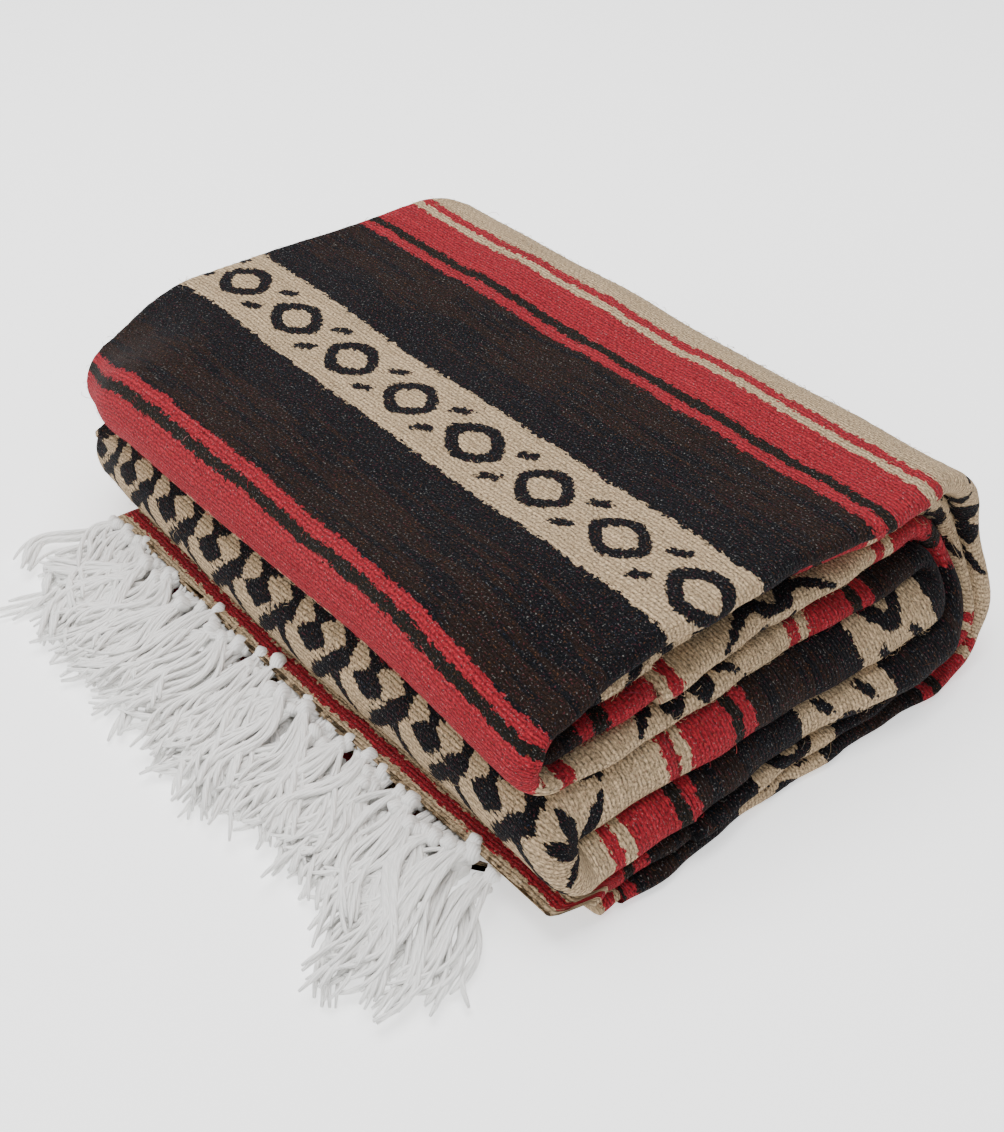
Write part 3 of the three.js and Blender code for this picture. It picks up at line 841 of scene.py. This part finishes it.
# Half a repeat of the stripes: where each colour starts, in millimetres from the rings' middle.
STRIPES = [(0.0, TAN), (21.3, BLACK), (56.0, BROWN), (77.0, RED), (82.5, DARK), (88.0, RED),
           (109.4, TAN), (114.0, RED), (119.0, TAN)]
LINT = [(0.0, "#7C3A44"), (0.46, "#A9A7A0"), (0.51, "#3E4A66"), (0.56, "#8A5A3C")]

# Each unevenness of the cloth: its scale per millimetre across and along, its detail, and a
# number that sets it apart from the others.
UNEVEN = {
    "drift": (0.05, 0.02, 2.0, 3.1),
    "fuzz": (0.4, 0.6, 4.0, 7.7),
    "streak": (0.022, 0.2, 5.0, 11.0),
    "ragged": (0.42, 0.62, 4.0, 21.0),
    "melange": (0.9, 1.1, 3.0, 31.0),
    "fleck": (1.3, 1.3, 1.0, 41.0),
    "tint": (0.35, 0.35, 1.0, 51.0),
    "wobble": (0.25, 0.3, 2.0, 61.0),
    "nap": (1.1, 1.1, 4.0, 71.0),
}
UNEVEN_ROUGH = 0.55


def set_colours(ramp, stops):
    """Gives a ramp its flat colours, each from its own place to the next one's."""
    ramp.interpolation = "CONSTANT"
    while len(ramp.elements) < len(stops):
        ramp.elements.new(1.0)
    for element, (at, colour) in zip(ramp.elements, stops):
        element.position = at
        element.color = linear(colour)


def acrylic_weave():
    """Napped acrylic and recycled cotton weft over a hidden cotton warp: matt, fuzzy, flecked."""
    m = new_material("napped_falsa_weave")
    place = node(m, "ShaderNodeUVMap", dict(uv_map="cloth"))
    u = node(m, "ShaderNodeSeparateXYZ", {}, place, out="X")
    v = node(m, "ShaderNodeSeparateXYZ", {}, place, out="Y")
    noise = {}
    for name, (across, along, detail, apart) in UNEVEN.items():
        scaled = node(m, "ShaderNodeMapping", {}, Vector=place, Location=(0, 0, apart),
                      Scale=(across, along, 1))
        noise[name] = node(m, NOISE, {}, Vector=scaled, Scale=1, Detail=detail,
                           Roughness=UNEVEN_ROUGH)
    # The stripes' edges wander slowly with the beat of the weave, and are fuzzy up close.
    drift = node(m, MATH, TIMES_PLUS, noise["drift"], 3.0, -1.5)
    fuzz = node(m, MATH, TIMES_PLUS, noise["fuzz"], 7.0, -3.5)
    wander = node(m, MATH, ADD, drift, fuzz)
    soft_v = node(m, MATH, ADD, v, wander)
    from_rings = node(m, MATH, PINGPONG, soft_v, REPEAT / 2)
    stripes = node(m, RAMP, {}, node(m, MATH, OVER, from_rings, REPEAT / 2))
    set_colours(stripes.node.color_ramp, [(at / (REPEAT / 2), colour) for at, colour in STRIPES])
    # Brown and black were shuttled in turn, so they streak into one another.
    zone_start = node(m, RANGE, SOFT, from_rings, 36.0, 58.0)
    zone_end = node(m, RANGE, SOFT, from_rings, 78.0, 75.5)
    zone = node(m, MATH, TIMES, zone_start, zone_end)
    less_black = node(m, MATH, TIMES, zone, -0.14)
    blackness = node(m, MATH, ADD, noise["streak"], less_black)
    blackness = node(m, RANGE, SOFT, blackness, 0.38, 0.44)
    brown_start = node(m, RANGE, SOFT, from_rings, 32.0, 34.0)
    brown_end = node(m, RANGE, SOFT, from_rings, 77.5, 76.5)
    brown_zone = node(m, MATH, TIMES, brown_start, brown_end)
    streaked = node(m, MIX, LAY_OVER, Factor_Float=blackness, A_Color=linear(BROWN),
                    B_Color=linear(BLACK), out=2)
    colour = node(m, MIX, LAY_OVER, Factor_Float=brown_zone, A_Color=stripes,
                  B_Color=streaked, out=2)
    figured = node(m, "ShaderNodeAttribute", dict(attribute_name="figured"), out="Fac")
    ragged = node(m, MATH, TIMES_PLUS, noise["ragged"], 1.7, -0.85)
    ragged = node(m, MATH, ADD, figured, ragged)
    ragged = node(m, RANGE, SOFT, ragged, 0.42, 0.58)
    colour = node(m, MIX, LAY_OVER, Factor_Float=ragged, A_Color=colour,
                  B_Color=linear(BLACK), out=2)
    # Each pick's own shade, and the yarn's melange.
    pick = node(m, MATH, TIMES, drift, 0.5)
    pick = node(m, MATH, ADD, v, pick)
    pick = node(m, MATH, OVER, pick, WEFT_PITCH)
    pick_place = node(m, "ShaderNodeCombineXYZ", {}, node(m, MATH, TIMES, u, 0.02), pick, 5.0)
    shade = node(m, NOISE, {}, Vector=pick_place, Scale=1, Detail=1, Roughness=UNEVEN_ROUGH)
    shade = node(m, MATH, TIMES_PLUS, shade, 0.7, 0.62)
    melange = node(m, MATH, TIMES_PLUS, noise["melange"], 3.4, -0.7)
    bright = node(m, MATH, TIMES, shade, melange)
    bright = node(m, GREY, {}, bright, bright, bright)
    colour = node(m, MIX, DARKEN, Factor_Float=1.0, A_Color=colour, B_Color=bright, out=2)
    # Lint of other colours, caught in the nap.
    fleck = node(m, RANGE, SOFT, noise["fleck"], 0.57, 0.68)
    fleck = node(m, MATH, TIMES, fleck, 0.32)
    lint = node(m, RAMP, {}, noise["tint"])
    set_colours(lint.node.color_ramp, LINT)
    colour = node(m, MIX, LAY_OVER, Factor_Float=fleck, A_Color=colour, B_Color=lint, out=2)
    # Picks stand up as beads between the warps, offset half a bead from row to row.
    wobble = node(m, MATH, TIMES_PLUS, noise["wobble"], 1.5, -0.75)
    row = node(m, MATH, ADD, v, wobble)
    row = node(m, MATH, OVER, row, WEFT_PITCH)
    ridge = node(m, MATH, TIMES, row, math.pi)
    ridge = node(m, MATH, SINE, ridge)
    ridge = node(m, MATH, SIZE, ridge)
    ridge = node(m, MATH, POWER, ridge, 0.6)
    half_bead = node(m, MATH, FLOOR, row)
    half_bead = node(m, MATH, TIMES, half_bead, 0.5)
    bead = node(m, MATH, ADD, u, wobble)
    bead = node(m, MATH, OVER, bead, WARP_PITCH)
    bead = node(m, MATH, ADD, bead, half_bead)
    bead = node(m, MATH, TIMES, bead, math.pi)
    bead = node(m, MATH, SINE, bead)
    bead = node(m, MATH, SIZE, bead)
    bead = node(m, MATH, TIMES_PLUS, bead, 0.4, 0.6)
    height = node(m, MATH, TIMES, ridge, bead)
    height = node(m, MATH, TIMES_PLUS, noise["nap"], 2.0, height)
    # Painted shade: the low places between them are darkened, and the beads' tops are lightened a
    # little with painted light.
    low = node(m, RANGE, SOFT, height, 1.1, 2.0)
    low = node(m, MATH, TIMES_PLUS, low, 0.5, 0.6)
    low = node(m, GREY, {}, low, low, low)
    colour = node(m, MIX, DARKEN, Factor_Float=1.0, A_Color=colour, B_Color=low, out=2)
    bump = node(m, "ShaderNodeBump", {}, Strength=0.9, Distance=0.0007, Height=height)
    surface = node(m, GLOSS, {}, Base_Color=colour, Roughness=0.92, Normal=bump,
                   Specular_IOR_Level=0.12, Sheen_Weight=0.025, Sheen_Roughness=0.45)
    node(m, END, {}, Surface=surface)
    return m


TWIST_LENGTH = 34.0             # one full turn of a strand's two threads
TWIST_RIDGES = 5


def cotton_cord():
    """Bleached cotton warp, two soft threads twisted together: bright, matt and lit through."""
    m = new_material("twisted_cotton_fringe")
    place = node(m, "ShaderNodeUVMap", dict(uv_map="strand"))
    round_it = node(m, "ShaderNodeSeparateXYZ", {}, place, out="X")
    along = node(m, "ShaderNodeSeparateXYZ", {}, place, out="Y")
    twist = node(m, MATH, OVER, along, TWIST_LENGTH)
    twist = node(m, MATH, ADD, round_it, twist)
    twist = node(m, MATH, TIMES, twist, TWIST_RIDGES * math.pi)
    twist = node(m, MATH, SINE, twist)
    twist = node(m, MATH, SIZE, twist)
    in_object = node(m, "ShaderNodeTexCoord", {}, out="Object")
    fibre = node(m, NOISE, {}, Vector=in_object, Scale=1400.0, Detail=2.0)
    height = node(m, MATH, TIMES_PLUS, fibre, 0.35, twist)
    # Painted shade in the grooves between the two threads: the white is darkened where the twist runs
    # low.
    shade = node(m, RANGE, SOFT, twist, 0.0, 0.6)
    shade = node(m, MATH, TIMES_PLUS, shade, 0.16, 0.84)
    shade = node(m, GREY, {}, shade, shade, shade)
    colour = node(m, MIX, DARKEN, Factor_Float=1.0, A_Color=linear(WHITE), B_Color=shade, out=2)
    bump = node(m, "ShaderNodeBump", {}, Strength=0.6, Distance=0.0003, Height=height)
    surface = node(m, GLOSS, {}, Base_Color=colour, Roughness=0.85, Normal=bump,
                   Specular_IOR_Level=0.3, Sheen_Weight=0.2)
    node(m, END, {}, Surface=surface)
    return m


weave = acrylic_weave()
cord = cotton_cord()

# ---- Naming and slots -----------------------------------------------------------------------------

def arc_of(section, cuts, name):
    """The flat width of a piece, half the way round its section's middle row."""
    x, side, _ = section(cuts, name)
    rows = band_points(cuts, x, side)
    middle = rows[len(rows) // 2]
    return np.linalg.norm(np.diff(middle, axis=0), axis=1).sum() / 2 * MM


STRIP_NOSE = 2                  # what the rounded edge adds to a strip's width
for stretch_name, piece in cloth_pieces.items():
    panel = stretch_name in PANELS
    cuts = STRETCHES[stretch_name]
    width = arc_of(panel_section if panel else edge_section, cuts, stretch_name)
    piece.data.materials.append(weave)
    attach(piece, "root")
    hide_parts(stretch_name)
    on = ["floor"] if stretch_name in ("outer_wrap", "edge_2_7") else ["outer_wrap"]
    piece.name = stretch_name + "_cloth"
    cuts.length() * MM
for strip, path, width in layer_strips:
    strip.data.materials.append(weave)
    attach(strip, "root")
    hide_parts("hidden_layers")
    (width + STRIP_NOSE) * MM
    path.length() * MM
for piece, cad_node in ((upper_fringe, "upper_fringe"), (lower_fringe, "lower_fringe")):
    piece.data.materials.append(cord)
    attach(piece, "root")
    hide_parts(cad_node)

nap.data.materials.append(weave)
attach(nap, "root")

# ---- Studio ---------------------------------------------------------------------------------------

def studio_floor():
    bpy.ops.object.select_all(action="DESELECT")
    bpy.ops.mesh.primitive_plane_add(size=8, location=(0, 0, -0.0002))
    floor = bpy.context.object
    floor.name = "floor"
    m = new_material("paper_sweep")
    surface = node(m, GLOSS, {}, Base_Color=linear("#F7F7F7"), Roughness=0.9,
                   Specular_IOR_Level=0.1, Emission_Color=(1, 1, 1, 1), Emission_Strength=0.9)
    node(m, END, {}, Surface=surface)
    floor.data.materials.append(m)


LIT_POINT = (0, 0, 0.03)


def softbox(name, place, size, power):
    light = bpy.data.lights.new(name, "AREA")
    light.shape = "SQUARE"
    light.size = size
    light.energy = power
    lamp = bpy.data.objects.new(name, light)
    lamp.location = place
    lamp.rotation_euler = (Vector(LIT_POINT) - Vector(place)).to_track_quat("-Z", "Y").to_euler()
    bpy.context.scene.collection.objects.link(lamp)


studio_floor()
softbox("overhead", (-0.3, 0.1, 1.5), 1.4, 38)
softbox("front_left", (-0.5, -1.3, 0.8), 1.0, 14)
softbox("front_right", (1.4, -0.5, 0.7), 1.0, 6)
world = bpy.data.worlds.new("studio")
world.use_nodes = True
world.node_tree.nodes["Background"].inputs[0].default_value = (1, 1, 1, 1)
world.node_tree.nodes["Background"].inputs[1].default_value = 0.5
bpy.context.scene.world = world

STACK_CAMERA = np.array([602.46, -236.96, 428.76])
STACK_AIM = np.array([171.04, 114.2, 0])
lens = bpy.data.cameras.new("camera")
lens.lens = 50.6
lens.sensor_width = 36
camera = bpy.data.objects.new("camera", lens)
camera.location = Vector((STACK_CAMERA + ORIGIN) * MM)
aim = Vector((STACK_AIM + ORIGIN) * MM)
camera.rotation_euler = (aim - camera.location).to_track_quat("-Z", "Y").to_euler()
bpy.context.scene.collection.objects.link(camera)
bpy.context.scene.camera = camera
